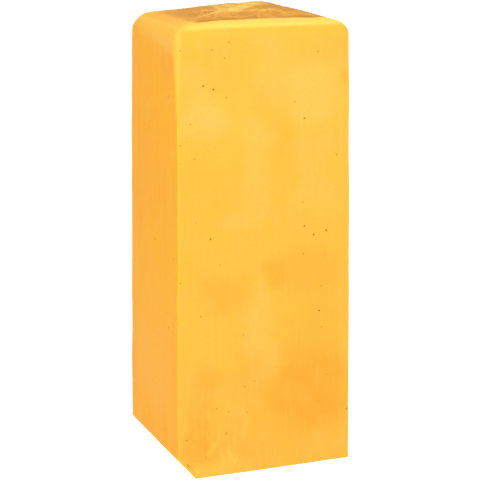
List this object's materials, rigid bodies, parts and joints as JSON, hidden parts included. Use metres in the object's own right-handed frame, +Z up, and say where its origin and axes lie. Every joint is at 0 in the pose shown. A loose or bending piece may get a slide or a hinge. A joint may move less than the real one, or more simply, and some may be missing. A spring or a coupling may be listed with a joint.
{
  "type": "sharp cheddar cheese loaf",
  "caption": "Tall square loaf of sharp cheddar standing on its cut end, with a rounded upper end that keeps the shape of folded film.",
  "frame": {"origin": "middle of the box round the loaf, on the flat cut foot", "axes": "+Z up the loaf's length from the cut foot to the film folded end, -Y towards the front wall, +X to its right"},
  "size_m": [0.0972, 0.097, 0.2404],
  "materials": {
    "cheddar": "soft satin surface of a coloured hard cheese, slightly translucent, with fine pits"
  },
  "bodies": {
    "root": {"cheddar_loaf": "cheddar"}
  },
  "joints": []
}
